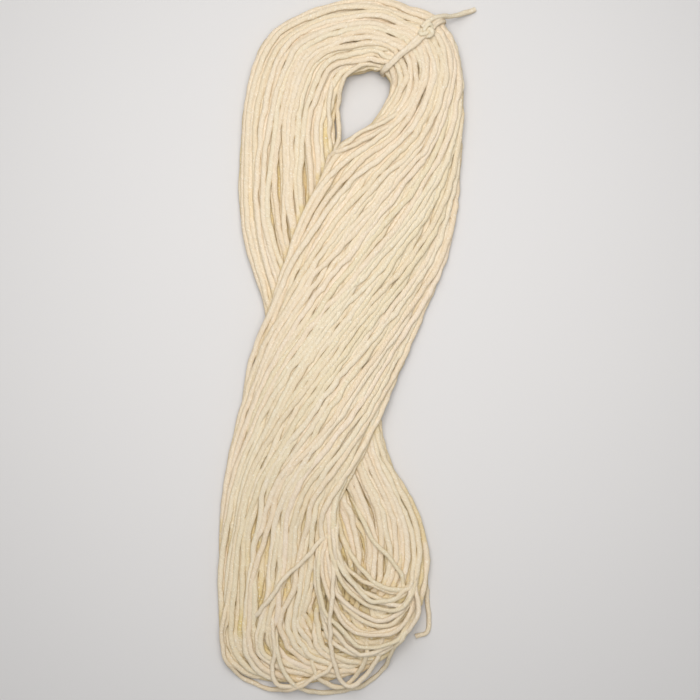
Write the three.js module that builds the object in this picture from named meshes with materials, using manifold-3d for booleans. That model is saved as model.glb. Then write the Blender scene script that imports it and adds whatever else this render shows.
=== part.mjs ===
// A hank of twisted paper yarn, given half a twist into a figure eight and laid flat, with a short
// tie round its upper bend. Millimetres, +Z up. X runs across the hank and Y along it, towards the
// tied end. The origin is on the surface it lies on, under the middle of the hank.
import * as THREE from "three";
import Module from "manifold-3d";
import { mergeVertices } from "three/addons/utils/BufferGeometryUtils.js";

// Driving sizes
const YARN = 2.0; // diameter of the yarn
const GAP = 0.3; // clearance between pieces that touch
const FULLNESS = 2.5; // exponent of the bundle's rounded section: 2 is an ellipse, more is squarer
const RIDGES = 22; // coarse ridges round the bundle, each standing for a few turns of yarn
const GROOVE = 1.2; // depth between two ridges
const RINGS_PER_ROW = 4; // sections swept between two rows of the table
const CORD_SIDES = 8;
const CORD_STEP = 4.0; // length of yarn between two sections of a free end
const TIE_RINGS = 40; // sections round the tie
const TIE_SIDES = 12; // points of one such section
const TIE_DIP = 0.35; // how far the groove between the tie's two turns goes into their height
const KNOT = { across: 7.4, along: 5.6, high: 4.2 }; // the knot's overall size
const KNOT_AT = 0.05; // its place on the tied section, from the right edge (-1) to the left edge (1)
// The ridges fade out down the sides between these two heights on the section's unit scale
const RIDGES_END = -0.6;
const RIDGES_FULL = -0.1;

// The bundle, section by section, in the order in which the yarn runs: round the top from left to
// right, down and over the crossing, round the bottom, and up and under the crossing.
// r and l are the section's right and left edges as the yarn runs [x, y, height of the edge].
// half is half the bundle's thickness, arch lifts the middle of the section above the line of its
// edges, and roll is how far the turns have wound round the bundle by then, in degrees.
const SECTIONS = [
  { at: "top", r: [9, 124.5, 7], l: [8, 157.5, 7], half: 7.6, arch: 0, roll: 0 },
  { at: "top right", r: [14.5, 125, 7.6], l: [29.5, 153, 7.6], half: 7.2, arch: 0, roll: 4 },
  { at: "tie", r: [17, 124, 9], l: [39.5, 147, 9], half: 6.6, arch: 0, roll: 10 },
  { at: "right", r: [20.5, 117, 7.8], l: [50, 128.5, 7.4], half: 7.2, arch: 0, roll: 18 },
  { at: "eye right", r: [19, 108, 8], l: [52.5, 107, 6.4], half: 7, arch: 0, roll: 28 },
  { at: "eye low", r: [9.5, 99, 11.5], l: [52, 84.5, 5], half: 5.8, arch: 0.5, roll: 40 },
  { at: "eye end", r: [-3.5, 90, 15], l: [50.5, 63.5, 3.8], half: 4.4, arch: 0.5, roll: 54 },
  { at: "over 1", r: [-15, 71, 14.5], l: [45, 38.5, 3.4], half: 4, arch: 1.5, roll: 72 },
  { at: "over 2", r: [-25, 46, 13.5], l: [35, 13.5, 3.4], half: 4, arch: 3.5, roll: 90 },
  { at: "over 3", r: [-33.5, 21.5, 10.5], l: [25, -9, 4.5], half: 4.2, arch: 6.5, roll: 106 },
  { at: "over 4", r: [-43.5, -3.5, 5.5], l: [15, -33.5, 9], half: 4.3, arch: 7.5, roll: 120 },
  { at: "over 5", r: [-49, -29, 4], l: [5, -54, 12.5], half: 4.5, arch: 5, roll: 132 },
  { at: "over 6", r: [-54.5, -57, 3.8], l: [-3, -71, 12], half: 4.8, arch: 1.5, roll: 142 },
  { at: "left 1", r: [-57.5, -86.5, 3.6], l: [-4.5, -89, 9], half: 4.8, arch: 0, roll: 151 },
  { at: "left 2", r: [-57.5, -116, 3.4], l: [5, -103.5, 7], half: 4.8, arch: 0, roll: 159 },
  { at: "bend 1", r: [-53, -139.5, 3.4], l: [6.5, -108, 6.6], half: 4.6, arch: 0, roll: 166 },
  { at: "bend 2", r: [-35, -155, 3.6], l: [7, -109.5, 6.6], half: 4.8, arch: 0, roll: 173 },
  { at: "bend 3", r: [-9.5, -157.5, 4.4], l: [7, -110, 6.6], half: 5.6, arch: 0, roll: 180 },
  { at: "bend 4", r: [16, -147.5, 5.6], l: [7, -108.8, 7], half: 6.6, arch: 0, roll: 194 },
  { at: "bend 5", r: [31.5, -126, 6.2], l: [3.5, -103.5, 6.8], half: 7.2, arch: 0, roll: 216 },
  { at: "right 1", r: [37, -104.5, 6], l: [-3.5, -96, 6.4], half: 7, arch: 0, roll: 238 },
  { at: "right 2", r: [34, -77.5, 5.8], l: [-8, -84, 5.8], half: 6.6, arch: 0, roll: 256 },
  { at: "under 1", r: [20, -51.5, 5.7], l: [-15.5, -65, 5.7], half: 6.5, arch: 0, roll: 272 },
  { at: "under 2", r: [14.5, -27, 5.4], l: [-24, -40, 5.4], half: 6.2, arch: 0, roll: 286 },
  { at: "under 3", r: [10, 1, 5.2], l: [-32.5, -6.5, 5.2], half: 6, arch: 0, roll: 300 },
  { at: "under 4", r: [6.5, 29.5, 5.2], l: [-38, 22.5, 5.2], half: 6, arch: 0, roll: 314 },
  { at: "leg 1", r: [2, 57.5, 5.2], l: [-46, 52, 5.2], half: 6, arch: 0, roll: 327 },
  { at: "leg 2", r: [-2, 84.5, 5.4], l: [-48, 82, 5.4], half: 6.2, arch: 0, roll: 338 },
  { at: "leg 3", r: [-2.5, 107, 5.8], l: [-45, 112, 5.8], half: 6.6, arch: 0, roll: 347 },
  { at: "top left", r: [2.5, 121, 6.4], l: [-31, 143.5, 6.4], half: 7.2, arch: 0, roll: 354 },
];
const row = (name) => SECTIONS.findIndex((s) => s.at === name);
const LOWEST_ROW = row("bend 3");
const TIE_ROW = row("tie");

// The tie's free end: from the knot over the outer edge of the bundle and down to the surface
const TIE_END = [
  [32.4, 139.2, 19.0],
  [36.5, 143.6, 18.4],
  [40.2, 147.4, 16.2],
  [43.6, 149.6, 12.8],
  [47.4, 151.2, 8.6],
  [51.4, 152.4, 4.6],
  [56.4, 153.2, 1.4],
];

// The yarn's loose end: out from under the lower bend and along the surface
const LOOSE_END = [
  [36.0, -98.5, 1.0],
  [36.2, -104.0, 1.0],
  [36.5, -110.0, 1.0],
  [37.0, -117.0, 1.0],
  [37.6, -124.0, 1.0],
  [36.6, -129.4, 1.0],
  [31.4, -131.2, 1.0],
];

const paper = (color) => new THREE.MeshStandardMaterial({ color, roughness: 0.75, metalness: 0 });
const mesh = (name, geometry, material) => {
  const made = new THREE.Mesh(geometry, material);
  made.name = name;
  return made;
};

// Booleans: a closed geometry to a solid and back
const wasm = await Module();
wasm.setup();

function solid(geometry) {
  const bare = geometry.clone();
  bare.deleteAttribute("normal");
  bare.deleteAttribute("uv");
  const merged = mergeVertices(bare, 1e-4);
  return new wasm.Manifold(
    new wasm.Mesh({
      numProp: 3,
      vertProperties: merged.attributes.position.array,
      triVerts: new Uint32Array(merged.index.array),
    }),
  );
}

function geometryOf(body) {
  const m = body.getMesh();
  const geometry = new THREE.BufferGeometry();
  geometry.setAttribute("position", new THREE.BufferAttribute(m.vertProperties, 3));
  geometry.setIndex(new THREE.BufferAttribute(m.triVerts, 1));
  geometry.computeVertexNormals();
  return geometry;
}

// A skin over rings of equally many points. An open run is closed by a fan at each end.
function loft(rings, closed) {
  const sides = rings[0].length;
  const points = rings.flat();
  const faces = [];
  const spans = closed ? rings.length : rings.length - 1;
  for (let i = 0; i < spans; i++) {
    const here = i * sides;
    const next = ((i + 1) % rings.length) * sides;
    for (let k = 0; k < sides; k++) {
      const k2 = (k + 1) % sides;
      faces.push(here + k, here + k2, next + k, here + k2, next + k2, next + k);
    }
  }
  if (!closed) {
    for (const [ring, flip] of [[0, true], [rings.length - 1, false]]) {
      const middle = new THREE.Vector3();
      rings[ring].forEach((p) => middle.addScaledVector(p, 1 / sides));
      const hub = points.push(middle) - 1;
      for (let k = 0; k < sides; k++) {
        const a = ring * sides + k;
        const b = ring * sides + ((k + 1) % sides);
        faces.push(hub, flip ? b : a, flip ? a : b);
      }
    }
  }
  const geometry = new THREE.BufferGeometry().setFromPoints(points);
  geometry.setIndex(faces);
  return geometry;
}

// One value of the table at a place t between its rows, which close on themselves: a smooth
// (Catmull-Rom) curve through the rows. gain is what a value grows by in one round.
function between(t, pick, gain = 0) {
  const count = SECTIONS.length;
  const first = Math.floor(t);
  const f = t - first;
  const value = (i) => pick(SECTIONS[((i % count) + count) % count]) + gain * Math.floor(i / count);
  const [a, b, c, d] = [-1, 0, 1, 2].map((k) => value(first + k));
  const slope = (c - a) / 2;
  const bend = a - 2.5 * b + 2 * c - 0.5 * d;
  const turn = (3 * (b - c) + d - a) / 2;
  return b + f * (slope + f * (bend + f * turn));
}

function sectionAt(t) {
  const edge = (side) => new THREE.Vector3(...[0, 1, 2].map((k) => between(t, (s) => s[side][k])));
  const r = edge("r");
  const l = edge("l");
  return {
    middle: r.clone().add(l).divideScalar(2),
    toLeft: l.clone().sub(r).divideScalar(2),
    half: between(t, (s) => s.half),
    arch: between(t, (s) => s.arch),
    roll: THREE.MathUtils.degToRad(between(t, (s) => s.roll, 360)),
  };
}

// A point of the rounded section at an angle from its left edge, on the unit scale
function rounded(angle) {
  const soften = (v) => Math.sign(v) * Math.abs(v) ** (2 / FULLNESS);
  return { across: soften(Math.cos(angle)), up: soften(Math.sin(angle)) };
}

// A point of a section, grown outwards by some millimetres
function onSection(section, { across, up }, grow) {
  const width = section.toLeft.length();
  const point = section.middle.clone();
  point.addScaledVector(section.toLeft, across * (1 + grow / width));
  point.z += up * (section.half + grow) + section.arch * (1 - across * across);
  return point;
}

// The ridges turn with the roll, so they run as the yarn's turns do. The underside is left plain
// and lies flat on the surface.
function bundleRing(t) {
  const section = sectionAt(t);
  const ring = [];
  for (let k = 0; k < 2 * RIDGES; k++) {
    const place = rounded((Math.PI * k) / RIDGES + section.roll);
    const upperSide = THREE.MathUtils.clamp((place.up - RIDGES_END) / (RIDGES_FULL - RIDGES_END), 0, 1);
    const point = onSection(section, place, k % 2 ? -GROOVE * upperSide : 0);
    point.z = Math.max(0, point.z);
    ring.push(point);
  }
  return ring;
}

function bundleRun(fromRow, toRow) {
  const rings = [];
  for (let i = fromRow * RINGS_PER_ROW; i <= toRow * RINGS_PER_ROW; i++) {
    rings.push(bundleRing(i / RINGS_PER_ROW));
  }
  return solid(loft(rings, false));
}

// Hank: the run that passes over and the run that passes under, made one. The small pockets shut in
// between the two runs are filled by keeping only the outermost of its surfaces.
function hank() {
  const over = bundleRun(0, LOWEST_ROW);
  const under = bundleRun(LOWEST_ROW, SECTIONS.length);
  const surfaces = over.add(under).decompose();
  surfaces.sort((a, b) => b.volume() - a.volume());
  return mesh("hank", geometryOf(surfaces[0]), paper(0xe8d7b6));
}

// Tie: two turns of yarn side by side round the bundle, and the knot on top
function tie() {
  const section = sectionAt(TIE_ROW);
  const along = section.toLeft.clone().cross(new THREE.Vector3(0, 0, 1)).normalize();
  const ringRadius = YARN / 2;
  const core = [];
  for (let i = 0; i < TIE_RINGS; i++) {
    core.push(onSection(section, rounded((2 * Math.PI * i) / TIE_RINGS), GAP + ringRadius));
  }
  const rings = core.map((point, i) => {
    const before = core[(i + TIE_RINGS - 1) % TIE_RINGS];
    const after = core[(i + 1) % TIE_RINGS];
    const outward = after.clone().sub(before).normalize().cross(along);
    const ring = [];
    for (let k = 0; k < TIE_SIDES; k++) {
      const angle = (2 * Math.PI * k) / TIE_SIDES;
      const dip = 1 - TIE_DIP * Math.max(0, 1 - 2 * Math.abs(Math.cos(angle)));
      ring.push(
        point
          .clone()
          .addScaledVector(along, YARN * Math.cos(angle))
          .addScaledVector(outward, ringRadius * Math.sin(angle) * dip),
      );
    }
    return ring;
  });
  const lump = new THREE.SphereGeometry(0.5, 12, 8);
  lump.scale(KNOT.across, KNOT.along, KNOT.high);
  lump.rotateZ(Math.atan2(section.toLeft.y, section.toLeft.x));
  const seat = onSection(section, { across: KNOT_AT, up: 1 }, GAP + KNOT.high / 2);
  lump.translate(seat.x, seat.y, seat.z);
  return mesh("tie", geometryOf(solid(loft(rings, true)).add(solid(lump))), paper(0xefe2c6));
}

// A length of yarn lying along a route
function yarn(name, route, color) {
  const curve = new THREE.CatmullRomCurve3(route.map((p) => new THREE.Vector3(...p)), false, "centripetal");
  const outline = new THREE.Shape();
  for (let k = 0; k < CORD_SIDES; k++) {
    const angle = (2 * Math.PI * (k + 0.5)) / CORD_SIDES;
    const radius = YARN / 2 / Math.cos(Math.PI / CORD_SIDES);
    const corner = [radius * Math.cos(angle), radius * Math.sin(angle)];
    if (k) outline.lineTo(...corner);
    else outline.moveTo(...corner);
  }
  outline.closePath();
  const steps = Math.round(curve.getLength() / CORD_STEP);
  return mesh(name, new THREE.ExtrudeGeometry(outline, { steps, extrudePath: curve }), paper(color));
}

const paperYarnHank = new THREE.Group();
paperYarnHank.name = "paper yarn hank";
paperYarnHank.add(
  hank(),
  tie(),
  yarn("tie_end", TIE_END, 0xefe2c6),
  yarn("loose_end", LOOSE_END, 0xe8d7b6),
);

export default paperYarnHank;
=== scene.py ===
from math import pi, radians, tau

import bpy
import numpy as np
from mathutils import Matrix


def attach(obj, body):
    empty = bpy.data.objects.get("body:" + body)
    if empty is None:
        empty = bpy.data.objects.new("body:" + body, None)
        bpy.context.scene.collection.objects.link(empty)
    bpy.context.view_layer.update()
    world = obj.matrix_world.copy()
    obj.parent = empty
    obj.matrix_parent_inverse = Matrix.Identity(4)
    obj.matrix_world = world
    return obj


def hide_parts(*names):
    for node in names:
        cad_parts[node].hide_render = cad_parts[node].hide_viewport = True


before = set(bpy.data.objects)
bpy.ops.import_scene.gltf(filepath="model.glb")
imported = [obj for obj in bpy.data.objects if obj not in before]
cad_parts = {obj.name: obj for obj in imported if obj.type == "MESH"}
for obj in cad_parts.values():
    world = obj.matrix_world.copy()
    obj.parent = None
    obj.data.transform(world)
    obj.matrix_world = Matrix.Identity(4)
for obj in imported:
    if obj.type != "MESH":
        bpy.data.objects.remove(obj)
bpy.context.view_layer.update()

scene = bpy.context.scene

# Camera. It looks straight down on the hank from about arm's length, with the tied end at the top
# of the picture. The picture is square and takes in the whole hank with little room above and below.
PICTURE_SIDE = 0.315  # metres of the surface from the picture's left edge to its right edge
PICTURE_MIDDLE = (0.0018, -0.0011)
MEASURED_AT = 0.008  # the height at which the picture's side is measured
LENS = 85.0  # millimetres, as is the sensor
SENSOR = 36.0
NEAREST = 0.01  # what is closer to the camera isn't drawn
camera_data = bpy.data.cameras.new("camera")
camera_data.lens = LENS
camera_data.sensor_width = SENSOR
camera_data.clip_start = NEAREST
camera = bpy.data.objects.new("camera", camera_data)
camera.location = (*PICTURE_MIDDLE, MEASURED_AT + PICTURE_SIDE * LENS / SENSOR)
scene.collection.objects.link(camera)
scene.camera = camera

# Studio. Most of the light comes from a wide soft lamp high above the hank. A weaker lamp beyond
# the tied end makes the shadows fall towards the lower end, and a dim even sky fills them.
SKY_COLOR = (0.96, 0.98, 1.0, 1.0)
SKY_STRENGTH = 0.30


def soft_light(name, place, aim, size, spread, watts):
    """Hang a round lamp at a place and turn it to its aim."""
    data = bpy.data.lights.new(name, "AREA")
    data.shape = "DISK"
    data.size = size
    data.spread = radians(spread)
    data.energy = watts
    lamp = bpy.data.objects.new(name, data)
    lamp.location = place
    offset = np.subtract(place, aim)
    yaw = np.arctan2(offset[0], -offset[1])
    tilt = np.arctan2(np.hypot(offset[0], offset[1]), offset[2])
    lamp.rotation_euler = (tilt, 0.0, yaw)
    scene.collection.objects.link(lamp)


soft_light("key light", place=(-0.05, 0.34, 0.52), aim=(0.01, 0.02, 0.0), size=0.40, spread=80, watts=0.19)
soft_light("overhead light", place=(0.0, 0.10, 0.75), aim=(0.0, 0.05, 0.0), size=0.5, spread=85, watts=1.17)
sky = bpy.data.worlds.new("studio")
sky.use_nodes = True
sky.node_tree.nodes["Background"].inputs["Color"].default_value = SKY_COLOR
sky.node_tree.nodes["Background"].inputs["Strength"].default_value = SKY_STRENGTH
scene.world = sky
scene.view_settings.view_transform = "Standard"

# Floor. The hank lies on a plain pale sheet. It is matt all over, and it reaches well past the
# picture's edges, so that there is ground to see from a low angle too.
FLOOR_HALF = 1.5
FLOOR_COLOR = (0.65, 0.632, 0.62, 1.0)
FLOOR_ROUGHNESS = 0.9
floor_mesh = bpy.data.meshes.new("floor")
corners = [(-1, -1), (1, -1), (1, 1), (-1, 1)]
floor_mesh.from_pydata([(x * FLOOR_HALF, y * FLOOR_HALF, 0.0) for x, y in corners], [], [(0, 1, 2, 3)])
floor = bpy.data.objects.new("floor", floor_mesh)
floor_look = bpy.data.materials.new("floor")
floor_look.use_nodes = True
floor_shader = floor_look.node_tree.nodes["Principled BSDF"]
floor_shader.inputs["Base Color"].default_value = FLOOR_COLOR
floor_shader.inputs["Roughness"].default_value = FLOOR_ROUGHNESS
floor_mesh.materials.append(floor_look)
scene.collection.objects.link(floor)

# Yarn finish. The yarn is a ribbon of undyed paper, a good centimetre wide, twisted up into a
# thread. Fine creases wind round it, with painted shadow in them, and the paper is matt, a little
# smoother in some places, with painted highlights on small facets. Light comes through it, which
# painted light stands for: a golden colour on a yarn's sides, and golden painted shade deep in the gaps.
PALE_PAPER = (0.815, 0.71, 0.57, 1.0)
DEEP_PAPER = (0.77, 0.65, 0.475, 1.0)
FLANK_PAINTED_LIGHT = (0.78, 0.60, 0.30, 1.0)  # painted light on a yarn's sides: a golden colour for light through the paper and for the shade in the grooves
LEAST_FLANK_LIGHT = 0.4  # how much of that painted light the sides have where the turns lie close and get no painted shade
PAINTED_DEEP_SHADE = (0.73, 0.575, 0.28, 1.0)  # painted shade of turns that only get light off and through other turns
WARM_DEPTH = 0.3  # the painted shade depth, from 0 to 1, up to which only a yarn's sides get more painted light
PAINTED_GLINT = (0.87, 0.79, 0.665, 1.0)  # painted highlights on small facets of the paper that would catch the light
ROSY = (1.0, 0.97, 0.95, 1.0)  # the tinges by which one turn differs from another
GREENISH = (0.975, 0.985, 0.94, 1.0)
TINGE_STEP = 7.0  # keeps a turn's tinge apart from its shade
CREASE_SHADOW_SHARE = (0.80, 0.72, 0.58)  # the painted shadow in a crease, as a share of the deep paper's colour
CREASE_SHADOW_STRENGTH = 0.25
FINENESS = 2.4  # of the creases
CREASE_NOISE = (0.40, 0.50)  # the noise values up to which a crease has painted shadow, and from which none
CREASE_STEP = 40.0  # gives each turn creases of its own
PATCHES = 0.7  # fineness of the patches in which the paper is deeper in colour and rougher
PATCH_NOISE = (0.3, 0.7)  # the noise values at which a patch begins and is complete
PATCH_SHADE = 0.5
PAPER_ROUGHNESS = (0.55, 0.8)
FACETS = 1300.0  # fineness of the paper's small facets
PAINTED_GLINT_NOISE = (0.58, 0.70)  # the noise values at which a facet's painted highlight begins, and is full
FLANK_LIGHT_LEVELS = (0.12, 0.40)  # how far up or down a yarn its side has full painted light, and where that ends
RELIEF = 0.55
RELIEF_HEIGHT = 0.0008
SHINE = 0.2


def node(tree, kind, inputs=(), **settings):
    """Add a node. Each of its inputs gets a value, or a link to another node's output."""
    made = tree.nodes.new(kind)
    for key, value in settings.items():
        setattr(made, key, value)
    for key, value in dict(inputs).items():
        if isinstance(value, bpy.types.NodeSocket):
            tree.links.new(value, made.inputs[key])
        else:
            made.inputs[key].default_value = value
    return made


def reckon(tree, operation, *values):
    return node(tree, "ShaderNodeMath", dict(enumerate(values)), operation=operation).outputs[0]


def ramp(tree, value, start, end, low, high):
    """A value that goes from low to high as the given one goes from start to end."""
    limits = {"From Min": start, "From Max": end, "To Min": low, "To Max": high}
    return node(tree, "ShaderNodeMapRange", {"Value": value, **limits}).outputs["Result"]


def blend(tree, factor, first, second, kind="MIX"):
    colors = {"Factor": factor, "A": first, "B": second}
    return node(tree, "ShaderNodeMix", colors, data_type="RGBA", blend_type=kind).outputs["Result"]


def noise(tree, place, scale, detail, roughness=0.5):
    values = {"Vector": place, "Scale": scale, "Detail": detail, "Roughness": roughness}
    return node(tree, "ShaderNodeTexNoise", values).outputs["Fac"]


def own(tree, label):
    """An attribute of the yarn's own, which it gets when it is spun."""
    return node(tree, "ShaderNodeAttribute", attribute_name=label).outputs


def group_sockets(tree, ins, outs):
    for label, kind, value in ins:
        socket = tree.interface.new_socket(label, in_out="INPUT", socket_type="NodeSocket" + kind)
        if value is not None:
            socket.default_value = value
    for label, kind in outs:
        tree.interface.new_socket(label, in_out="OUTPUT", socket_type="NodeSocket" + kind)


def paper_creases():
    """Relief of twisted paper, and masks for its patches of tone, its painted crease shadows, painted facet
    highlights and painted light on its sides. Their noise lies on a cylinder that the twist winds up.
    """
    tree = bpy.data.node_groups.new("paper creases", "ShaderNodeTree")
    results = ["Height", "Crease Shadow", "Painted Glint", "Tone", "Flank Painted Light"]
    group_sockets(tree, [("Fineness", "Float", FINENESS)], [(label, "Float") for label in results])
    fineness = node(tree, "NodeGroupInput").outputs["Fineness"]
    sides = node(tree, "ShaderNodeSeparateXYZ", {0: own(tree, "round")["Vector"]}).outputs
    twists = own(tree, "twists")["Fac"]
    angle = reckon(tree, "ARCTAN2", sides["Y"], sides["X"])
    wound = reckon(tree, "MULTIPLY_ADD", twists, tau, angle)
    shift = reckon(tree, "MULTIPLY", own(tree, "turn")["Fac"], CREASE_STEP)
    cylinder = {
        "X": reckon(tree, "COSINE", wound),
        "Y": reckon(tree, "SINE", wound),
        "Z": reckon(tree, "ADD", twists, shift),
    }
    place = node(tree, "ShaderNodeCombineXYZ", cylinder).outputs[0]
    folds = noise(tree, place, fineness, detail=3.0, roughness=0.6)
    where = node(tree, "ShaderNodeTexCoord").outputs["Object"]
    facets = noise(tree, where, FACETS, detail=2.0)
    level = reckon(tree, "ABSOLUTE", sides["Y"])
    made = {
        "Height": reckon(tree, "ADD", folds, facets),
        "Crease Shadow": ramp(tree, folds, *CREASE_NOISE, 1.0, 0.0),
        "Painted Glint": ramp(tree, facets, *PAINTED_GLINT_NOISE, 0.0, 1.0),
        "Tone": noise(tree, place, PATCHES, detail=1.0),
        "Flank Painted Light": ramp(tree, level, *FLANK_LIGHT_LEVELS, 1.0, 0.0),
    }
    node(tree, "NodeGroupOutput", made)
    return tree


creases = paper_creases()


def paper_look(name, pale, deep):
    """Paper in shades from a pale one to a deep one, with the creases of twisted yarn, and with painted
    light and shade: shadow in the creases, highlights on facets, a golden glow on the sides and golden
    shade deep in the bundle.
    """
    look = bpy.data.materials.new(name)
    look.use_nodes = True
    tree = look.node_tree
    shader = tree.nodes["Principled BSDF"]
    paper = node(tree, "ShaderNodeGroup", node_tree=creases).outputs
    turn = own(tree, "turn")["Fac"]
    depth = own(tree, "depth")["Fac"]
    color = blend(tree, turn, pale, deep)
    color = blend(tree, ramp(tree, paper["Tone"], *PATCH_NOISE, 0.0, PATCH_SHADE), color, deep)
    # Painted shade: turns deep among others and in slits go golden, as if lit only by light off other
    # turns.
    color = blend(tree, ramp(tree, depth, WARM_DEPTH, 1.0, 0.0, 1.0), color, PAINTED_DEEP_SHADE)
    # Painted light: a yarn's sides go golden, as if lit through the paper, which also colours the shade in
    # the grooves.
    flank_light_amount = ramp(tree, depth, 0.0, WARM_DEPTH, LEAST_FLANK_LIGHT, 1.0)
    color = blend(tree, reckon(tree, "MULTIPLY", paper["Flank Painted Light"], flank_light_amount), color, FLANK_PAINTED_LIGHT)
    # Painted shadow in the creases.
    painted_crease_shadow = tuple(c * k for c, k in zip(deep[:3], CREASE_SHADOW_SHARE)) + (1.0,)
    color = blend(tree, reckon(tree, "MULTIPLY", paper["Crease Shadow"], CREASE_SHADOW_STRENGTH), color, painted_crease_shadow)
    # Painted highlights on the paper's small facets.
    color = blend(tree, paper["Painted Glint"], color, PAINTED_GLINT)
    part = reckon(tree, "FRACT", reckon(tree, "MULTIPLY", turn, TINGE_STEP))
    color = blend(tree, 1.0, color, blend(tree, part, ROSY, GREENISH), "MULTIPLY")
    roughness = ramp(tree, paper["Tone"], *PATCH_NOISE, *PAPER_ROUGHNESS)
    folded = {"Height": paper["Height"], "Strength": RELIEF, "Distance": RELIEF_HEIGHT}
    tree.links.new(color, shader.inputs["Base Color"])
    tree.links.new(roughness, shader.inputs["Roughness"])
    tree.links.new(node(tree, "ShaderNodeBump", folded).outputs["Normal"], shader.inputs["Normal"])
    shader.inputs["Specular IOR Level"].default_value = SHINE
    return look


yarn_look = paper_look("paper yarn", PALE_PAPER, DEEP_PAPER)

# Yarn spinning. The twist leaves the yarn uneven, with small kinks in it. Geometry Nodes run such a
# thread, with a full, almost square section, along each line of a set: the turns of the hank, the
# tie and the loose ends are all the same yarn.
YARN_WIDTH = 0.0021
YARN_HEIGHT = 0.0020
YARN_SIDES = 8
TWIST_LENGTH = 0.0065  # length of yarn in one turn of its twist
KINK_FLATNESS = (1.0, 1.0, 0.4)  # a yarn kinks less upwards than sideways
KINK_STEP = 50.0  # gives each turn kinks of its own
LUMP_NOISE = (0.25, 0.75)  # the noise values at which a yarn is thinnest and thickest


def vectors(tree, operation, *values):
    return node(tree, "ShaderNodeVectorMath", dict(enumerate(values)), operation=operation).outputs[0]


def scaled(tree, vector, size):
    values = {"Vector": vector, "Scale": size}
    return node(tree, "ShaderNodeVectorMath", values, operation="SCALE").outputs[0]


def stored(tree, geometry, label, value, kind):
    values = {"Geometry": geometry, "Name": label, "Value": value}
    kept = node(tree, "GeometryNodeStoreNamedAttribute", values, data_type=kind, domain="POINT")
    return kept.outputs[0]


def spinning_nodes():
    tree = bpy.data.node_groups.new("spin yarn", "GeometryNodeTree")
    group_sockets(
        tree,
        [
            ("Lines", "Geometry", None),
            ("Width", "Float", YARN_WIDTH),
            ("Height", "Float", YARN_HEIGHT),
            ("Sides", "Int", YARN_SIDES),
            ("Fullness", "Float", 3.5),
            ("Twist Length", "Float", TWIST_LENGTH),
            ("Unevenness", "Float", 0.4),
            ("Lump Scale", "Float", 160.0),
            ("Kinks", "Float", 0.0019),
            ("Kink Scale", "Float", 160.0),
            ("Yarn", "Material", None),
        ],
        [("Yarn", "Geometry")],
    )
    given = node(tree, "NodeGroupInput").outputs
    spot = node(tree, "GeometryNodeInputPosition").outputs[0]
    turn = node(tree, "GeometryNodeInputNamedAttribute", {"Name": "turn"}, data_type="FLOAT").outputs[0]
    seed = reckon(tree, "MULTIPLY", turn, KINK_STEP)

    def uneven(scale, detail):
        values = {"Vector": spot, "W": seed, "Scale": scale, "Detail": detail}
        return node(tree, "ShaderNodeTexNoise", values, noise_dimensions="4D").outputs

    # The line is kinked, held level, and marked with the number of twists up to each point.
    curve = node(tree, "GeometryNodeMeshToCurve", {"Mesh": given["Lines"]}).outputs[0]
    centred = vectors(tree, "SUBTRACT", uneven(given["Kink Scale"], 1.0)["Color"], (0.5, 0.5, 0.5))
    shift = scaled(tree, vectors(tree, "MULTIPLY", centred, KINK_FLATNESS), given["Kinks"])
    kinked = node(tree, "GeometryNodeSetPosition", {"Geometry": curve, "Offset": shift}).outputs[0]
    level = node(tree, "GeometryNodeSetCurveNormal", {"Curve": kinked}, mode="Z_UP").outputs[0]
    length = node(tree, "GeometryNodeSplineLength").outputs[0]
    way = node(tree, "GeometryNodeSplineParameter").outputs["Factor"]
    whole = reckon(tree, "ROUND", reckon(tree, "DIVIDE", length, given["Twist Length"]))
    line = stored(tree, level, "twists", reckon(tree, "MULTIPLY", whole, way), "FLOAT")

    # The section is a circle pushed out towards a square, and marked with its own form.
    circle = node(tree, "GeometryNodeCurvePrimitiveCircle", {"Resolution": given["Sides"], "Radius": 0.5})
    sides = node(tree, "ShaderNodeSeparateXYZ", {0: vectors(tree, "NORMALIZE", spot)}).outputs
    powers = [
        reckon(tree, "POWER", reckon(tree, "ABSOLUTE", sides[side]), given["Fullness"])
        for side in ("X", "Y")
    ]
    root = reckon(tree, "DIVIDE", -1.0, given["Fullness"])
    reach = reckon(tree, "POWER", reckon(tree, "ADD", *powers), root)
    pushed = {"Geometry": circle.outputs[0], "Position": scaled(tree, spot, reach)}
    full = node(tree, "GeometryNodeSetPosition", pushed).outputs[0]
    rim = stored(tree, full, "round", spot, "FLOAT_VECTOR")
    oval = node(tree, "ShaderNodeCombineXYZ", {"X": given["Width"], "Y": given["Height"], "Z": 1.0})
    section = node(tree, "GeometryNodeTransform", {"Geometry": rim, "Scale": oval.outputs[0]})

    # The yarn is that section along the line, thicker in one place and thinner in another.
    swell = ramp(tree, uneven(given["Lump Scale"], 2.0)["Fac"], *LUMP_NOISE, -0.5, 0.5)
    girth = reckon(tree, "MULTIPLY_ADD", swell, given["Unevenness"], 1.0)
    run = {"Curve": line, "Profile Curve": section.outputs[0], "Scale": girth, "Fill Caps": True}
    skin = node(tree, "GeometryNodeCurveToMesh", run).outputs[0]
    smooth = node(tree, "GeometryNodeSetShadeSmooth", {"Geometry": skin}).outputs[0]
    real = node(tree, "GeometryNodeRealizeInstances", {"Geometry": smooth}).outputs[0]
    dressed = node(tree, "GeometryNodeSetMaterial", {"Geometry": real, "Material": given["Yarn"]})
    node(tree, "NodeGroupOutput", {"Yarn": dressed.outputs[0]})
    return tree


spinning = spinning_nodes()


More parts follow.
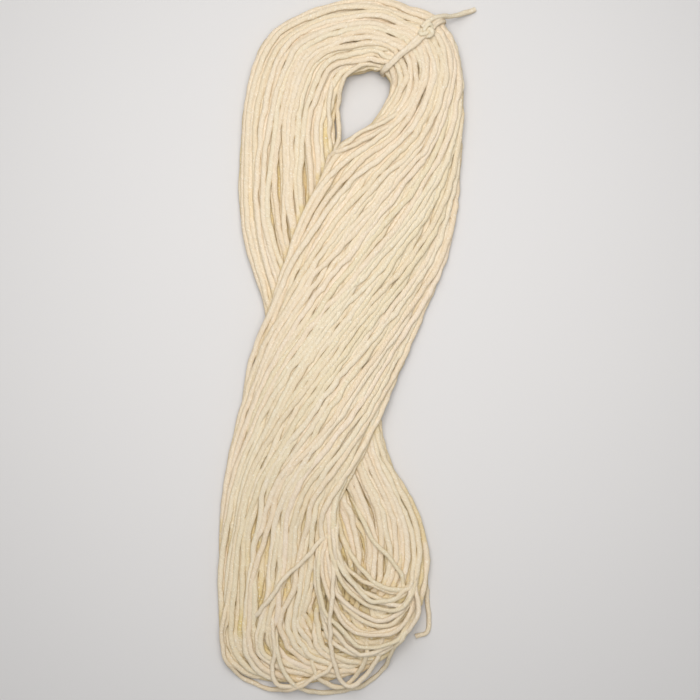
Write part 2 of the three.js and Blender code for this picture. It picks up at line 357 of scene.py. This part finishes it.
def spin(name, lines, tones, look, depths=None, width=YARN_WIDTH, height=YARN_HEIGHT):
    """Make yarn along lines of points in metres. Tones give each line its tone of paper, from 0 to 1, and
    shade depths say how much golden painted shade and light each point gets, from 0 to 1."""
    counts = [len(line) for line in lines]
    edges = []
    start = 0
    for count in counts:
        edges += [(start + k, start + k + 1) for k in range(count - 1)]
        start += count
    mesh = bpy.data.meshes.new(name)
    mesh.from_pydata(np.concatenate(lines).tolist(), edges, [])
    marks = {"turn": np.repeat(tones, counts)}
    if depths is not None:
        marks["depth"] = np.concatenate(depths)
    for label, values in marks.items():
        mark = mesh.attributes.new(label, "FLOAT", "POINT")
        mark.data.foreach_set("value", values.astype(np.float32))
    source = bpy.data.objects.new(name + " lines", mesh)
    scene.collection.objects.link(source)
    modifier = source.modifiers.new("spin", "NODES")
    modifier.node_group = spinning
    sockets = {s.name: s.identifier for s in spinning.interface.items_tree if s.in_out == "INPUT"}
    modifier[sockets["Yarn"]] = look
    modifier[sockets["Width"]] = width
    modifier[sockets["Height"]] = height
    evaluated = source.evaluated_get(bpy.context.evaluated_depsgraph_get())
    result = bpy.data.meshes.new_from_object(evaluated)
    source.modifiers.clear()
    bpy.data.objects.remove(source)
    bpy.data.meshes.remove(mesh)
    result.name = name
    piece = bpy.data.objects.new(name, result)
    scene.collection.objects.link(piece)
    return piece


# Hank. One length of yarn is wound into a ring of about a hundred turns, which gets half a twist and
# is laid down as a figure eight. So its turns wind round the bundle once in a round, and on the
# crossing they run from its right edge to its left edge. Some have slipped and lie slack on top.
MM = 0.001  # lengths from here on are millimetres, and this makes them metres
TURNS = 126
THICKNESS = 1.9  # of a turn among its neighbours in the bundle
PRESSED_WIDTH = 2.7  # the turns in the bundle lie pressed flat against each other
PRESSED_HEIGHT = 1.6
FULLNESS = 2.5  # exponent of the bundle's rounded section
SECTIONS = [
    # place, right edge (x, y, height), left edge, half thickness, arch, roll in degrees
    ("top", (9, 124.5, 7), (8, 157.5, 7), 7.6, 0, 0),
    ("top right", (14.5, 125, 7.6), (29.5, 153, 7.6), 7.2, 0, 4),
    ("tie", (17, 124, 9), (42.5, 146.5, 9), 6.6, 0, 9),
    ("right", (20.5, 117, 7.8), (51, 130.5, 7.4), 7.2, 0, 15),
    ("eye right", (16.8, 108, 8), (53, 107, 6.4), 7, 0, 32),
    ("eye low", (9.5, 99, 11.5), (52, 84.5, 5), 5.8, 0.5, 49),
    ("eye end", (-3.5, 90, 15), (50.5, 63.5, 3.8), 4.4, 1, 61),
    ("over 1", (-15, 71, 15.5), (45, 38.5, 3.4), 4, 2, 77),
    ("over 2", (-25, 46, 14.5), (35, 13.5, 3.4), 3.9, 4, 93),
    ("over 3", (-33.5, 21.5, 11.5), (25, -9, 4.5), 4, 7.5, 108),
    ("over 4", (-43.5, -3.5, 6), (15, -33.5, 10), 4, 8.5, 122),
    ("over 5", (-49, -29, 4), (5, -54, 14), 4.3, 5.5, 136),
    ("over 6", (-54.5, -57, 4), (-3, -71, 13), 4.7, 2, 151),
    ("left 1", (-57.5, -86.5, 3.8), (1, -88, 10.5), 4.8, 0, 166),
    ("left 2", (-57.5, -119, 3.8), (7, -100, 8.5), 4.8, 0, 180),
    ("bend 1", (-54.5, -140, 3.8), (9.5, -106, 7), 4.6, 0, 194),
    ("bend 2", (-38, -151, 3.8), (12, -108, 7), 4.8, 0, 208),
    ("bend 3", (-12, -151, 4.6), (13.5, -108.5, 7), 5.6, 0, 232),
    ("bend 4", (12, -143, 5.6), (14, -107.5, 7), 6.6, 0, 266),
    ("bend 5", (29, -125, 6.2), (8, -104, 6.4), 7.2, 0, 306),
    ("right 1", (37, -104.5, 6), (-2, -95, 5.5), 7, 0, 334),
    ("right 2", (34, -77.5, 5.8), (-9, -82, 5.2), 6.6, 0, 348),
    ("under 1", (20, -51.5, 5.7), (-14, -65, 5.7), 6.5, 0, 352),
    ("under 2", (14.5, -27, 5.4), (-24, -40, 5.4), 6.2, 0, 350),
    ("under 3", (10, 1, 5.2), (-32.5, -6.5, 5.2), 6, 0, 346),
    ("under 4", (5, 29.5, 5.2), (-38, 22.5, 5.2), 6, 0, 342),
    ("leg 1", (-0.5, 57.5, 5.2), (-47, 52, 5.2), 6, 0, 341),
    ("leg 2", (-4, 84.5, 5.4), (-48, 82, 5.4), 6.2, 0, 345),
    ("leg 3", (-5, 107, 5.8), (-45, 112, 5.8), 6.6, 0, 350),
    ("top left", (2, 121.5, 6.4), (-34, 143.5, 6.4), 7.2, 0, 355),
]
ROWS = {row[0]: i for i, row in enumerate(SECTIONS)}
FULL_ROLL = 360.0  # the turns go once round the bundle on their way round the loop
STATIONS_PER_ROW = 6
FINER = 2  # and this many times as many, once the turns have found their places


def between(values, t, gain=0.0):
    """Smooth curve through the rows of a closed table, at places t; gain is its growth in a round."""
    count = len(values)
    first = np.floor(t).astype(int)
    f = (t - first).reshape((-1,) + (1,) * (values.ndim - 1))

    def value(i):
        return values[i % count] + gain * (i // count).reshape(f.shape)

    a, b, c, d = (value(first + k) for k in (-1, 0, 1, 2))
    return b + f * ((c - a) / 2 + f * (a - 2.5 * b + 2 * c - 0.5 * d + f * (3 * (b - c) + d - a) / 2))


class Bundle:
    """The bundle's sections at some places round the loop, counted in rows of the table."""

    def __init__(self, t):
        _, right, left, half, arch, roll = zip(*SECTIONS)
        right = between(np.array(right, float), t)
        left = between(np.array(left, float), t)
        self.middle = (right + left) / 2
        self.width = np.linalg.norm(left - right, axis=1) / 2
        self.to_left = (left - right) / 2 / self.width[:, None]
        self.half = between(np.array(half, float), t)
        self.arch = between(np.array(arch, float), t)
        self.roll = np.radians(between(np.array(roll, float), t, FULL_ROLL))

    def points(self, across, up):
        """Points in space of places on the sections, in arrays of turn by station."""
        p = self.middle + across[..., None] * self.to_left
        p[..., 2] += up + self.arch * (1 - (across / self.width) ** 2)
        return p


GOLDEN_ANGLE = pi * (3 - 5**0.5)
UNTIDINESS = 0.3  # how far the turns stray from even runs, and how much more round the lower bend
BEND_UNTIDINESS = 0.5
BEND_ROWS = 3.5
from_bend = (np.arange(len(SECTIONS)) - ROWS["bend 3"]) / BEND_ROWS
untidiness = UNTIDINESS + BEND_UNTIDINESS * np.exp(-(from_bend**2))
LONG_WAVES = range(1, 10)  # waves in a round that make the turns change places
LONG_WAVE_SIZE = 0.15
LONG_WAVE_FALL = 0.6  # how fast the shorter waves get smaller
LONG_WAVE_SPREAD = 0.6


def spread_turns(rng, t, bundle):
    """Spread the turns evenly over the section, which rolls over on its way round the loop."""
    rank = (np.arange(TURNS) + 0.5) / TURNS
    place = np.sqrt(rank)[:, None]
    angle = (np.arange(TURNS) * GOLDEN_ANGLE)[:, None] + bundle.roll
    across = place * np.cos(angle)
    up = place * np.sin(angle)
    loop = tau * t / len(SECTIONS)
    for waves in LONG_WAVES:
        size = LONG_WAVE_SIZE / waves**LONG_WAVE_FALL * between(untidiness, t)
        for run in (across, up):
            phase = rng.uniform(0, tau, (TURNS, 1))
            run += size * rng.normal(0, LONG_WAVE_SPREAD, (TURNS, 1)) * np.cos(waves * loop + phase)
    return across * (bundle.width - THICKNESS / 2), up * (bundle.half - THICKNESS / 2)


STIFFNESS = 0.04
STIFF_WAVES = 20  # waves in a round that the yarn's stiffness begins to flatten


def eased(values):
    """Ease closed runs of yarn: the shorter a wave of the run is, the more it is flattened."""
    waves = np.fft.rfft(values, axis=1)
    count = np.arange(waves.shape[1])
    return np.fft.irfft(waves / (1 + STIFFNESS * (count / STIFF_WAVES) ** 4), values.shape[1], axis=1)


ROUNDS = 70
PUSH = 0.28  # the share of an overlap that a round clears
SETTLING = 0.01  # how far a turn sinks in a round
NO_GAP = 1e-4  # added to a gap, so that it is never nothing
EDGE = 0.99  # how near to the section's edge a turn may come, as a share of its width
PRESS = 0.8  # how far the outermost turns keep inside it, as a share of their radius


def pushed_apart(bundle, across, up):
    """Let the turns push each other apart, sink and straighten, inside the bundle's section."""
    radius = THICKNESS / 2
    width = bundle.width - radius
    half = bundle.half - radius * PRESS
    itself = np.eye(TURNS, dtype=bool)[:, :, None]
    for _ in range(ROUNDS):
        da = (across[:, None] - across[None]).astype(np.float32)
        du = (up[:, None] - up[None]).astype(np.float32)
        gap = np.sqrt(da**2 + du**2) + NO_GAP
        push = np.where((gap < THICKNESS) & ~itself, (THICKNESS / gap - 1) * PUSH, 0)
        across = eased(across + (push * da).sum(axis=1))
        up = eased(up + (push * du).sum(axis=1) - SETTLING)
        across = np.clip(across, -EDGE * width, EDGE * width)
        limit = half * (1 - (np.abs(across) / width) ** FULLNESS) ** (1 / FULLNESS)
        up = np.clip(up, -limit, limit)
        up += np.maximum(0, radius - bundle.points(across, up)[..., 2])
    return eased(across), eased(up)


# Places (x, y) where the top turns part and the deeper ones show, with a slit's length and width.
SLITS = [
    (-18, 72.7, 27, 2.9),
    (-30.2, 75, 34, 3.1),
    (-32.9, 58, 26, 2.6),
    (-23.4, 63, 20, 2.0),
    (-26.5, 55, 16, 2.0),
    (-10, 96, 18, 2.2),
    (-42.8, -85.3, 32, 2.8),
    (-39, -89, 10, 2.0),
    (-36, -91, 20, 2.0),
    (-38.3, -110, 32, 3.5),
    (-47, -125, 18, 2.8),
    (-37, -136, 18, 3.0),
    (-27, -109, 14, 2.2),
    (-28, -137, 22, 3.2),
    (-15.5, -120, 30, 3.2),
    (-7.6, -98, 16, 2.8),
    (-19.8, -80, 14, 1.5),
    (1.8, -69, 18, 2.8),
    (7.6, -86.6, 26, 2.4),
    (-1.3, -92, 16, 2.4),
    (-4, -82, 18, 2.0),
    (10.8, -71, 24, 2.2),
    (17, -98, 16, 2.0),
]
SLIT_REACH = 3.5  # how far from a slit the turns still give way
GIVE = 0.6  # how far they do so, as a share of its width
CRACKS = 160  # small slits, wherever the turns happen to leave room
CRACK_REACH = 1.8
CRACK_LENGTH = (6, 14)
CRACK_WIDTH = (0.5, 1.2)
CRACKED_ABOVE = 0.6  # the share of the section's half thickness above which turns may crack apart
CRACKED_FROM = 5  # and their least height
TOP_RISE = 4  # how quickly, up through the section, a turn comes to count as a top one
TOP_START = 1.5


def parted(rng, points, up, half):
    """Part the top turns along the slits and cracks, and say how much each lower point then shows."""
    ahead = np.roll(points, -1, axis=1)[..., :2] - np.roll(points, 1, axis=1)[..., :2]
    ahead /= np.linalg.norm(ahead, axis=-1, keepdims=True)
    side = np.stack([-ahead[..., 1], ahead[..., 0]], axis=-1)
    top = np.clip(up / half * TOP_RISE - TOP_START, 0, 1)
    seen = np.zeros(up.shape)
    outer = np.argwhere((up > CRACKED_ABOVE * half) & (points[..., 2] > CRACKED_FROM))
    cracks = []
    for turn, station in rng.permutation(outer)[:CRACKS]:
        place = points[turn, station, :2] + THICKNESS / 2 * side[turn, station]
        cracks.append((*place, rng.uniform(*CRACK_LENGTH), rng.uniform(*CRACK_WIDTH), CRACK_REACH))
    slits = [slit + (SLIT_REACH,) for slit in SLITS]
    for x, y, length, gape, reach in slits + cracks:
        off = points[..., :2] - (x, y)
        along = (off * ahead).sum(axis=-1)
        aside = (off * side).sum(axis=-1)
        near = np.exp(-((along / length * 2) ** 2) - (aside / reach) ** 2)
        way = np.sign((near * aside).sum(axis=1, keepdims=True))
        # What shows in a slit is kept, to be painted in golden shade.
        if reach == SLIT_REACH:
            below = np.exp(-((along / length * 2) ** 2) - (aside / gape) ** 2) * (1 - top)
            seen = np.maximum(seen, below)
        points[..., :2] += (way * near * top * gape * GIVE)[..., None] * side
    return points, seen


SHORT_WAVES = range(12, 80)  # small waves in a round that the turns keep in their places
SHORT_WAVE_SIZE = 1.8
SHORT_WAVE_SPREAD = (1, 0.4)  # sideways and upwards
CLEAR = 1.05  # how high the lowest turns' middles lie, in their own radius


def wound_turns(rng):
    """Lay the turns, as runs of points, and say how much each point shows in a slit."""
    stations = len(SECTIONS) * STATIONS_PER_ROW
    t = np.arange(stations) / STATIONS_PER_ROW
    bundle = Bundle(t)
    places = pushed_apart(bundle, *spread_turns(rng, t, bundle))
    steps = np.arange(stations * FINER) / FINER
    across, up = [between(run.T, steps).T for run in places]
    fine = np.arange(stations * FINER) / (FINER * STATIONS_PER_ROW)
    for waves in SHORT_WAVES:
        size = SHORT_WAVE_SIZE / waves * between(untidiness, fine)
        phases = rng.uniform(0, tau, (2, TURNS, 1))
        for run, phase, spread in zip((across, up), phases, SHORT_WAVE_SPREAD):
            wave = np.cos(waves * tau * fine / len(SECTIONS) + phase)
            run += size * rng.normal(0, spread, (TURNS, 1)) * wave
    finer = Bundle(fine)
    points, seen = parted(rng, finer.points(across, up), up, finer.half)
    points[..., 2] = np.maximum(points[..., 2], CLEAR * PRESSED_HEIGHT / 2)
    # Each turn closes on itself, at a place of its own.
    marked = np.concatenate([points, seen[..., None]], axis=-1)
    opened = [np.roll(run, rng.integers(run.shape[0]), axis=0) for run in marked]
    closed = [np.vstack([run, run[:1]]) for run in opened]
    return [run[:, :3] for run in closed], [run[:, 3] for run in closed]


# The map of heights tells how high the yarn is piled at a place.
CELL = 1.0
MAP_CELLS = (160, 360)
MAP_CORNER = np.array([-80.0, -180.0])
MAP_REACH = (-0.8, 0, 0.8)  # how far to each side of its middle a yarn raises the map


def cell_of(points):
    cell = ((points[:, :2] - MAP_CORNER) / CELL).astype(int)
    return cell[:, 0], cell[:, 1]


def pile(heights, points):
    """Raise the map of heights to the top of the yarn that runs through the points."""
    for dx in MAP_REACH:
        for dy in MAP_REACH:
            np.maximum.at(heights, cell_of(points + (dx, dy, 0)), points[:, 2] + THICKNESS / 2)


turns, seen = wound_turns(np.random.default_rng(11))
heights = np.zeros(MAP_CELLS)
for run in turns:
    pile(heights, run)

# The slack turns run from where they come up between the others to where they go down again.
STRAYS = [
    # across the lower left
    [
        (-4, -81.5), (-11.5, -86.5), (-20, -96.5), (-28.5, -104.5), (-34, -112.5),
        (-41.5, -121.5), (-44, -126.5),
    ],
    # round the lower bend
    [
        (-6.5, -89.5), (-5.5, -101), (-6.5, -115), (-7, -129.5), (-5.5, -140), (-2.5, -149),
        (1.5, -152.5), (6, -150), (10.5, -145), (14.5, -138), (16.5, -130),
    ],
    [
        (-34, -116), (-32.5, -126), (-32, -136.5), (-33, -144), (-31.5, -151), (-26, -152.5),
        (-17, -150), (-8, -145), (-3, -137),
    ],
    [
        (-32, -125), (-30.5, -138.5), (-27.5, -146), (-23, -151.4), (-18.5, -154.1), (-12.6, -156.2),
        (-6.3, -156.4), (1, -155.2), (7.5, -153.5), (12, -150.5), (15.5, -147.5), (19, -142.5),
        (20.5, -137), (24, -131.5), (29, -123), (31, -115),
    ],
    [
        (-51, -110), (-54.5, -119), (-56, -131), (-54, -141), (-48, -149), (-41, -153),
        (-33, -155), (-24, -154), (-15, -149), (-9, -141),
    ],
    [(30.5, -100), (31.5, -110), (32, -118.5), (27.5, -126.5), (20.5, -131)],
    # down the lower right
    [(0, -84), (2, -92), (7, -99), (13, -105), (19, -107.5), (26, -108), (32, -106)],
    [(-3, -88), (-3, -96.5), (3, -105), (10.5, -112.5), (16.5, -113), (23.5, -111), (30, -108)],
    [(2, -66), (8, -78), (11.5, -85.5), (15.5, -90), (20, -94.5), (25, -102), (26, -112)],
    # inside the eye
    [
        (19, 125), (13, 127), (7, 126.5), (1.5, 123.5), (-2, 118), (-3.5, 111), (-3.7, 103),
        (-3.2, 94.5), (-6, 85),
    ],
    [(-2, 124), (-6, 119), (-7.5, 111), (-7.5, 100), (-8, 88)],
    [(-7, 84), (-3, 88.5), (2, 92.5), (8, 96.5), (14.5, 99.5), (20, 103), (27, 109)],
    [(-9, 80), (-7, 86), (0, 88.5), (7, 92), (12.5, 95), (25, 102)],
]
# In the lower bend slack arcs fan out from an inner line to an outer one. One more lies under them.
SLACK_TURNS = 11
SLACK_INNER = [
    (-4, -74), (-2, -88), (2.5, -99), (11, -106), (20.5, -109), (26.5, -107.5), (30, -102),
    (30.5, -94),
]
SLACK_OUTER = [
    (-12, -84), (-14, -102), (-12.5, -119), (-6, -132), (5, -139), (18, -136.5), (27.5, -127),
    (31.5, -113),
]
UNDER_SLACK = [
    (-17, -135), (-13, -147), (-8, -152), (-2, -153), (3, -149.5), (7.5, -142), (9.5, -133),
    (9, -123),
]
FAN_JITTER = 0.3  # of an arc's place in the fan, in steps of the fan
ARC_JITTER = 0.8  # of the arc's own points
COURSE_STEP = 1.5
CURVE_POINTS = 500  # the points that the evenly spaced ones are taken from
BRIDGED = 7  # points of its line, to each side, over which a slack turn bridges a hollow
SMOOTHED = 3  # points to each side over which its height is evened out
FALL = 0.75  # how steeply it can come down
BITE = 0.8  # how far it may press into what it lies on
RESTING = 0.8  # how high its middle then is above that, in its own radius
NESTED = 0.6  # how far a turn that comes over it presses into it
SINK = 5.0  # how deep its ends lie below the surface of the bundle
SINK_RUN = 14.0  # over what length of it
SINK_CURVE = 1.5


def course(keys):
    """Evenly spaced points on a smooth line through key points."""
    keys = np.array(keys, float)
    ends = np.vstack([2 * keys[0] - keys[1], keys, 2 * keys[-1] - keys[-2]])
    fine = between(ends, np.linspace(1, len(keys), CURVE_POINTS))
    gone = np.concatenate([[0], np.cumsum(np.linalg.norm(np.diff(fine, axis=0), axis=1))])
    steps = np.linspace(0, gone[-1], int(gone[-1] / COURSE_STEP) + 2)
    return np.stack([np.interp(steps, gone, fine[:, i]) for i in range(fine.shape[1])], axis=1)


def lie(heights, keys):
    """Lay a slack turn over the map of heights, its ends sunk, and add it to the map."""
    flat = course(keys)
    surface = heights[cell_of(flat)]
    ground = surface
    for filled in (np.max, np.min):
        padded = np.pad(ground, BRIDGED, mode="edge")
        ground = filled(np.lib.stride_tricks.sliding_window_view(padded, 2 * BRIDGED + 1), axis=-1)
    # Where the ground falls away the turn comes down no faster than its stiffness lets it.
    along = np.arange(len(flat)) * COURSE_STEP
    hung = (ground[None] - FALL * np.abs(along[:, None] - along[None])).max(axis=1)
    near_end = np.minimum(along, along[-1] - along)
    ground = surface + (hung - surface) * np.clip(near_end / SINK_RUN, 0, 1)
    window = np.ones(2 * SMOOTHED + 1) / (2 * SMOOTHED + 1)
    evened = np.convolve(np.pad(ground, SMOOTHED, mode="edge"), window, mode="valid")
    height = np.maximum(evened, ground - BITE) + THICKNESS / 2 * RESTING
    height -= SINK * np.clip(1 - near_end / SINK_RUN, 0, 1) ** SINK_CURVE
    points = np.column_stack([flat, np.maximum(height, YARN_WIDTH / MM / 2)])
    pile(heights, points - (0, 0, NESTED))
    return points


rng = np.random.default_rng(23)
slack = []
for k in range(SLACK_TURNS):
    f = (k + rng.uniform(-FAN_JITTER, FAN_JITTER)) / (SLACK_TURNS - 1)
    shape = np.array(SLACK_INNER) * (1 - f) + np.array(SLACK_OUTER) * f
    slack.append(shape + rng.normal(0, ARC_JITTER, shape.shape))
rng.shuffle(slack)
strays = [lie(heights, keys) * MM for keys in [UNDER_SLACK] + slack + STRAYS]

# The turns are spun once the slack ones lie over them, because what covers a turn tells its painted shade.
# It gets golden painted shade below others and golden painted light where all of them lie loosely, and most
# of that in a slit.
SHALLOW = 1.75  # how deep a turn lies where it begins to lie in the shade of others
HIDDEN = 1.5  # and how much deeper where hardly any light reaches it
HIDDEN_DEPTH = 0.5  # the painted shade depth that it then counts as
LOOSE_PAINTED_LIGHT_PLACES = [(-28, 70, 36), (-37, -95, 36), (-5, -128, 40), (18, -98, 32)]  # (x, y) and reach of places where the turns lie loosely and get golden painted light
beside = (-1, 0, 1)
covering = np.max([np.roll(heights, (i, j), axis=(0, 1)) for i in beside for j in beside], axis=0)
depths = []
for run, shown in zip(turns, seen):
    below = (covering[cell_of(run)] - run[:, 2] - THICKNESS / 2 - SHALLOW) / HIDDEN
    painted_glow = 0
    # Golden painted light where the turns lie loosely.
    for x, y, reach in LOOSE_PAINTED_LIGHT_PLACES:
        painted_glow = painted_glow + np.exp(-(((run[:, :2] - (x, y)) ** 2).sum(axis=1)) / reach**2)
    shaded = WARM_DEPTH * np.minimum(painted_glow, 1) + HIDDEN_DEPTH * np.clip(below, 0, 1)
    depths.append(np.maximum(shaded, shown))

PARTS = 4  # pieces that the turns are shared out to
tones = np.random.default_rng(5).uniform(0, 1, TURNS)
for part in range(PARTS):
    chosen = np.arange(part, TURNS, PARTS)
    piece = spin(
        f"hank_turns_{part + 1}",
        [turns[k] * MM for k in chosen],
        tones[chosen],
        yarn_look,
        [depths[k] for k in chosen],
        width=PRESSED_WIDTH * MM,
        height=PRESSED_HEIGHT * MM,
    )
    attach(piece, "root")
    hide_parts("hank")
piece = spin("stray_turns", strays, rng.uniform(0, 1, len(strays)), yarn_look)
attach(piece, "root")
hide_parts("hank")

# Tie. A short piece of the same yarn goes twice round the upper bend and is knotted on top, so the
# turns don't tangle. One end is cut off at the knot, the other crosses the outer edge and hangs
# down to the surface.
TIE_AT = (1.96, 2.06)  # where its two turns go round, in rows of the sections
TIE_SLACK = 0.9
TIE_POINTS = 90
KNOT_ACROSS = 0.5  # the knot's place, as shares of the section's half width and half thickness
KNOT_UP = 0.93
KNOT_ABOVE = 1.6  # and this much higher
KNOT_SIZE = np.array([1.15, 0.85, 0.85])
KNOT_POINTS = 60
TIE_TONES = np.array([0.3, 0.6, 0.4])
PALE_TIE = (0.81, 0.725, 0.59, 1.0)
DEEP_TIE = (0.78, 0.67, 0.50, 1.0)
tie_look = paper_look("tie yarn", PALE_TIE, DEEP_TIE)


def on_section(section, across, up):
    """The point in space of one place on one section."""
    return section.points(np.full((1, 1), across), np.full((1, 1), up))[0, 0]


def tie_turn(at):
    """A turn round the bundle's rounded section, a little away from it and above the surface."""
    section = Bundle(np.array([at]))
    angles = np.linspace(0, tau, TIE_POINTS)
    reach = [np.abs(f(angles)) ** (2 / FULLNESS) * np.sign(f(angles)) for f in (np.cos, np.sin)]
    width = section.width[0] + TIE_SLACK
    half = section.half[0] + TIE_SLACK
    ring = np.array([on_section(section, x * width, z * half) for x, z in zip(*reach)])
    ring[:, 2] = np.maximum(ring[:, 2], YARN_WIDTH / MM / 2)
    return ring


def overhand_knot():
    """A trefoil, which is an overhand knot with its ends joined, laid flat on the bundle."""
    way = np.linspace(0, tau, KNOT_POINTS)
    x = np.sin(way) + 2 * np.sin(2 * way)
    y = np.cos(way) - 2 * np.cos(2 * way)
    loops = np.column_stack([x, y, -np.sin(3 * way)]) * KNOT_SIZE
    section = Bundle(np.array([ROWS["tie"]], float))
    over = section.to_left[0] * (1, 1, 0)
    over /= np.linalg.norm(over)
    side = np.array([-over[1], over[0], 0])
    place = on_section(section, KNOT_ACROSS * section.width[0], KNOT_UP * section.half[0] + KNOT_ABOVE)
    return place + loops[:, :1] * over + loops[:, 1:2] * side + loops[:, 2:] * (0, 0, 1)


tie_lines = [tie_turn(at) * MM for at in TIE_AT] + [overhand_knot() * MM]
piece = spin("tie_turns", tie_lines, TIE_TONES, tie_look)
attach(piece, "root")
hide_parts("tie")

# Free ends. The tie's long end leaves the knot and comes down over the outer edge, and the loose end
# of the hank's own yarn lies beside the lower bend. Both are plain yarn, simply cut off.
TIE_END = [
    (33.5, 142.3, 17.2),
    (38.2, 146.3, 15.6),
    (42.5, 148.2, 12.5),
    (46.8, 149, 8.5),
    (51.3, 150.4, 4.6),
    (55.2, 152.2, 2.2),
    (58.5, 153.8, 1.3),
]
LOOSE_END = [
    (36.0, -98.5, 1.2),
    (36.2, -104, 1.2),
    (36.5, -110, 1.2),
    (37, -117, 1.2),
    (37.6, -124, 1.2),
    (36.6, -129.4, 1.2),
    (31.4, -131.2, 1.2),
]
MIDDLE_TONE = np.array([0.5])
FREE_ENDS = [("tie_end", TIE_END, tie_look, "tie_yarn"), ("loose_end", LOOSE_END, yarn_look, "paper_yarn")]
for name, keys, look, material in FREE_ENDS:
    path = course(keys) * MM
    piece = spin(name + "_yarn", [path], MIDDLE_TONE, look)
    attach(piece, "root")
    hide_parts(name)

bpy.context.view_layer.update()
